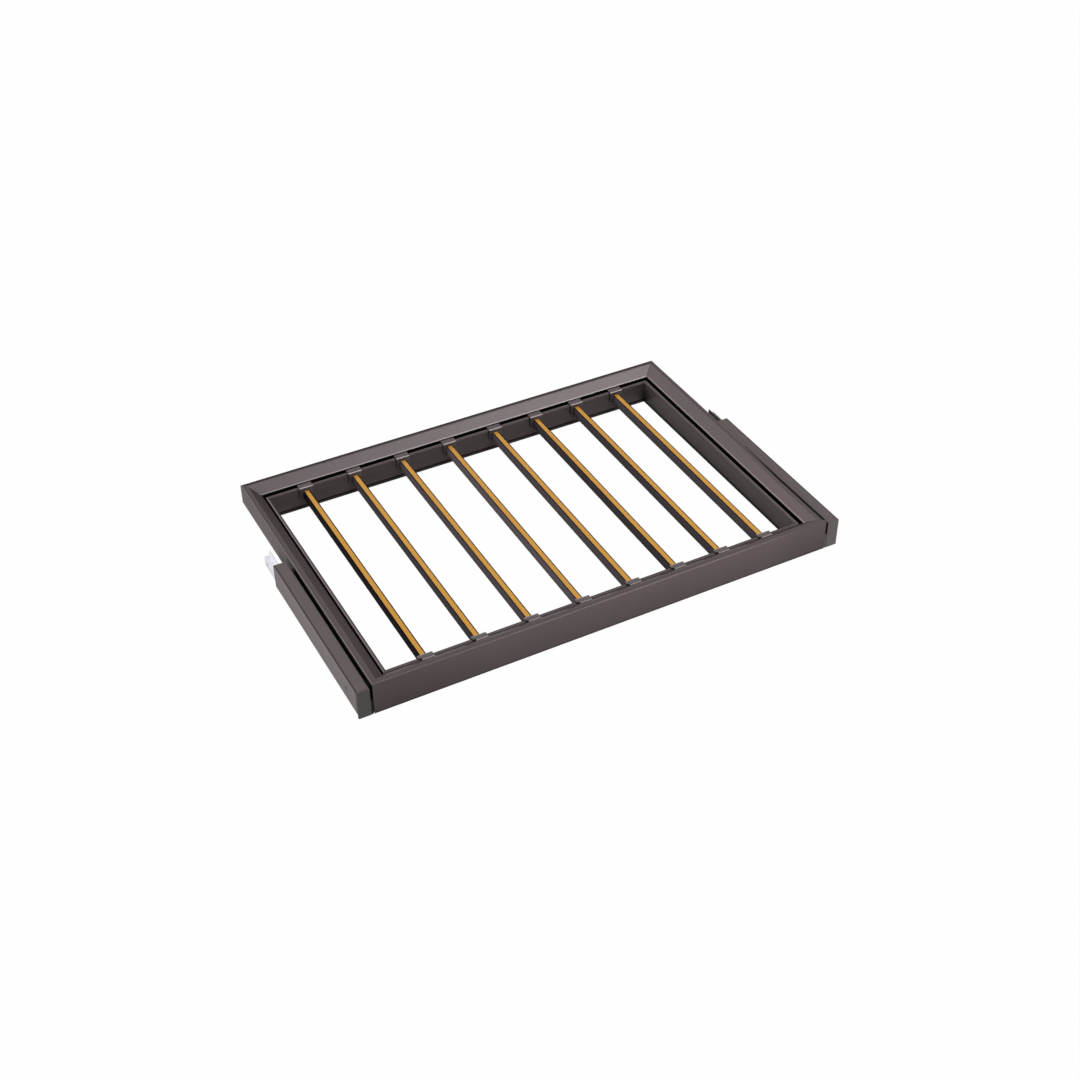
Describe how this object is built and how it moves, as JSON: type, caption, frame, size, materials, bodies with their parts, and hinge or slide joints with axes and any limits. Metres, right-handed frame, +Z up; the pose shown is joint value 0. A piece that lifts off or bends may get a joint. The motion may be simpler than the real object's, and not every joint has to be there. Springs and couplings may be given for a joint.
{
  "type": "pull-out trouser rack",
  "caption": "Pull-out trouser rack: a mitred mocha aluminium frame with hollow bars and amber grip strips, running on ball slides behind side covers.",
  "frame": {"origin": "middle of the bottom of the overall box, with the rack pushed in", "axes": "+Z up; the front faces -Y, the way the rack pulls out; +X to the right as seen from the front"},
  "size_m": [0.764, 0.49, 0.052],
  "materials": {
    "frame_coat": "satin mocha powder coat",
    "holder_coat": "satin mocha powder coat",
    "cover_coat": "satin mocha powder coat",
    "bracket_coat": "satin dark mocha coat",
    "bracket_zinc": "pale zinc plate",
    "bar_coat": "satin dark grey coat",
    "grip": "soft satin amber",
    "slide_steel": "satin black plate",
    "screw_steel": "zinc plate",
    "key_metal": "as cast",
    "cap_plastic": "fine textured mocha",
    "bumper_plastic": "matt black"
  },
  "bodies": {
    "slide_mounts": {"left_cover": "cover_coat", "right_cover": "cover_coat", "left_slide_bracket": "bracket_zinc", "right_slide_bracket": "bracket_coat", "left_outer_member": "slide_steel", "right_outer_member": "slide_steel", "left_bumper": "bumper_plastic", "right_bumper": "bumper_plastic", "slide_rivets": "screw_steel"},
    "rack": {"front_rail": "frame_coat", "rear_rail": "frame_coat", "left_rail": "frame_coat", "right_rail": "frame_coat", "corner_keys": "key_metal", "corner_screws": "screw_steel", "trouser_bar_1": "bar_coat", "trouser_bar_2": "bar_coat", "trouser_bar_3": "bar_coat", "trouser_bar_4": "bar_coat", "trouser_bar_5": "bar_coat", "trouser_bar_6": "bar_coat", "trouser_bar_7": "bar_coat", "trouser_bar_8": "bar_coat", "grip_strip_1": "grip", "grip_strip_2": "grip", "grip_strip_3": "grip", "grip_strip_4": "grip", "grip_strip_5": "grip", "grip_strip_6": "grip", "grip_strip_7": "grip", "grip_strip_8": "grip", "front_holder_1": "holder_coat", "front_holder_2": "holder_coat", "front_holder_3": "holder_coat", "front_holder_4": "holder_coat", "front_holder_5": "holder_coat", "front_holder_6": "holder_coat", "front_holder_7": "holder_coat", "front_holder_8": "holder_coat", "rear_holder_1": "holder_coat", "rear_holder_2": "holder_coat", "rear_holder_3": "holder_coat", "rear_holder_4": "holder_coat", "rear_holder_5": "holder_coat", "rear_holder_6": "holder_coat", "rear_holder_7": "holder_coat", "rear_holder_8": "holder_coat", "bar_screws": "screw_steel", "left_inner_member": "slide_steel", "right_inner_member": "slide_steel", "slide_screws": "screw_steel", "left_end_cap": "cap_plastic", "right_end_cap": "cap_plastic", "end_cap_screws": "screw_steel"},
    "left_middle": {"left_middle_member": "slide_steel"},
    "left_outer_cage": {"left_outer_cage": "slide_steel"},
    "left_inner_cage": {"left_inner_cage": "slide_steel"},
    "right_middle": {"right_middle_member": "slide_steel"},
    "right_outer_cage": {"right_outer_cage": "slide_steel"},
    "right_inner_cage": {"right_inner_cage": "slide_steel"}
  },
  "joints": [
    {"name": "rack_slide", "type": "slide", "parent": "slide_mounts", "child": "rack", "axis": [0, -1, 0], "range_m": [0, 0.26]},
    {"name": "left_middle_slide", "type": "slide", "parent": "slide_mounts", "child": "left_middle", "axis": [0, -1, 0], "range_m": [0, 0.13]},
    {"name": "left_outer_cage_slide", "type": "slide", "parent": "slide_mounts", "child": "left_outer_cage", "axis": [0, -1, 0], "range_m": [0, 0.065]},
    {"name": "left_inner_cage_slide", "type": "slide", "parent": "slide_mounts", "child": "left_inner_cage", "axis": [0, -1, 0], "range_m": [0, 0.195]},
    {"name": "right_middle_slide", "type": "slide", "parent": "slide_mounts", "child": "right_middle", "axis": [0, -1, 0], "range_m": [0, 0.13]},
    {"name": "right_outer_cage_slide", "type": "slide", "parent": "slide_mounts", "child": "right_outer_cage", "axis": [0, -1, 0], "range_m": [0, 0.065]},
    {"name": "right_inner_cage_slide", "type": "slide", "parent": "slide_mounts", "child": "right_inner_cage", "axis": [0, -1, 0], "range_m": [0, 0.195]}
  ],
  "couplings": [
    {"joint": "left_middle_slide", "follows": "rack_slide", "ratio": 0.5},
    {"joint": "left_outer_cage_slide", "follows": "rack_slide", "ratio": 0.25},
    {"joint": "left_inner_cage_slide", "follows": "rack_slide", "ratio": 0.75},
    {"joint": "right_middle_slide", "follows": "rack_slide", "ratio": 0.5},
    {"joint": "right_outer_cage_slide", "follows": "rack_slide", "ratio": 0.25},
    {"joint": "right_inner_cage_slide", "follows": "rack_slide", "ratio": 0.75}
  ]
}
